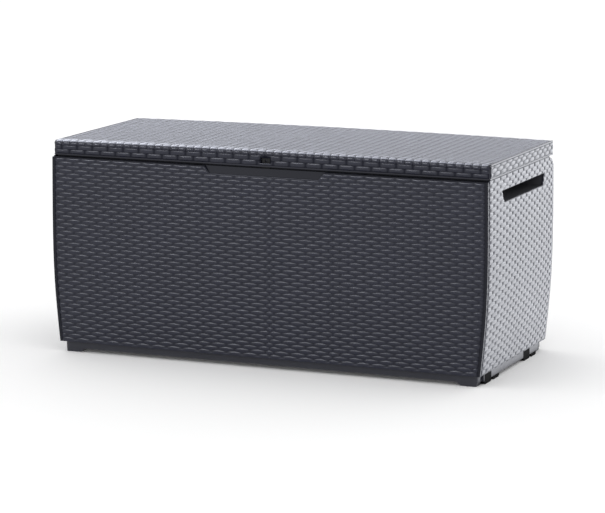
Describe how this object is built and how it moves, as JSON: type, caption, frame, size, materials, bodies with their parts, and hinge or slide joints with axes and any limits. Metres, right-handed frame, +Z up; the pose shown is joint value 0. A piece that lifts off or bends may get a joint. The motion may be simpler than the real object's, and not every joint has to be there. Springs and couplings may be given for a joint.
{
  "type": "deck storage box",
  "caption": "Long resin deck storage box with a rattan-weave finish, a rear-hinged bench lid with a lock slot, side hand-holds and a recessed plinth.",
  "frame": {"origin": "on the floor, under the middle of the box", "axes": "+X along the length to the right seen from the front, +Y to the rear hinges, +Z up; the front faces -Y"},
  "size_m": [1.23, 0.53, 0.569],
  "materials": {
    "woven_resin": "satin moulded resin with a rattan weave",
    "smooth_resin": "fine-grained moulded resin",
    "inner_resin": "plain moulded resin",
    "black_rubber": "matt",
    "steel": "zinc plated"
  },
  "bodies": {
    "box": {"base_panel": "smooth_resin", "foot_pad_right_1": "black_rubber", "foot_pad_right_2": "black_rubber", "foot_pad_right_3": "black_rubber", "foot_pad_right_4": "black_rubber", "foot_pad_left_1": "black_rubber", "foot_pad_left_2": "black_rubber", "foot_pad_left_3": "black_rubber", "foot_pad_left_4": "black_rubber", "front_panel": "woven_resin", "back_panel": "woven_resin", "side_panel_right": "woven_resin", "side_panel_left": "woven_resin", "handle_pocket_right": "smooth_resin", "handle_pocket_left": "smooth_resin", "corner_bracket_front_right_lower": "inner_resin", "corner_bracket_front_right_upper": "inner_resin", "corner_bracket_front_left_lower": "inner_resin", "corner_bracket_front_left_upper": "inner_resin", "corner_bracket_back_right_lower": "inner_resin", "corner_bracket_back_right_upper": "inner_resin", "corner_bracket_back_left_lower": "inner_resin", "corner_bracket_back_left_upper": "inner_resin", "hinge_bracket_right": "inner_resin", "hinge_bracket_left": "inner_resin", "lock_staple": "steel", "lock_staple_screw_1": "steel", "lock_staple_screw_2": "steel", "hinge_pin_right": "steel", "hinge_pin_left": "steel", "hinge_bracket_screw_right_1": "steel", "hinge_bracket_screw_right_2": "steel", "hinge_bracket_screw_left_1": "steel", "hinge_bracket_screw_left_2": "steel"},
    "lid": {"lid_shell": "woven_resin", "lid_inner_panel": "inner_resin", "hinge_leaf_right": "inner_resin", "hinge_leaf_left": "inner_resin", "hinge_leaf_screw_right_1": "steel", "hinge_leaf_screw_right_2": "steel", "hinge_leaf_screw_left_1": "steel", "hinge_leaf_screw_left_2": "steel"}
  },
  "joints": [
    {"name": "lid_hinge", "type": "hinge", "parent": "box", "child": "lid", "pos_m": [0, 0.247, 0.541], "axis": [-1, 0, 0], "range_deg": [0, 100]}
  ]
}
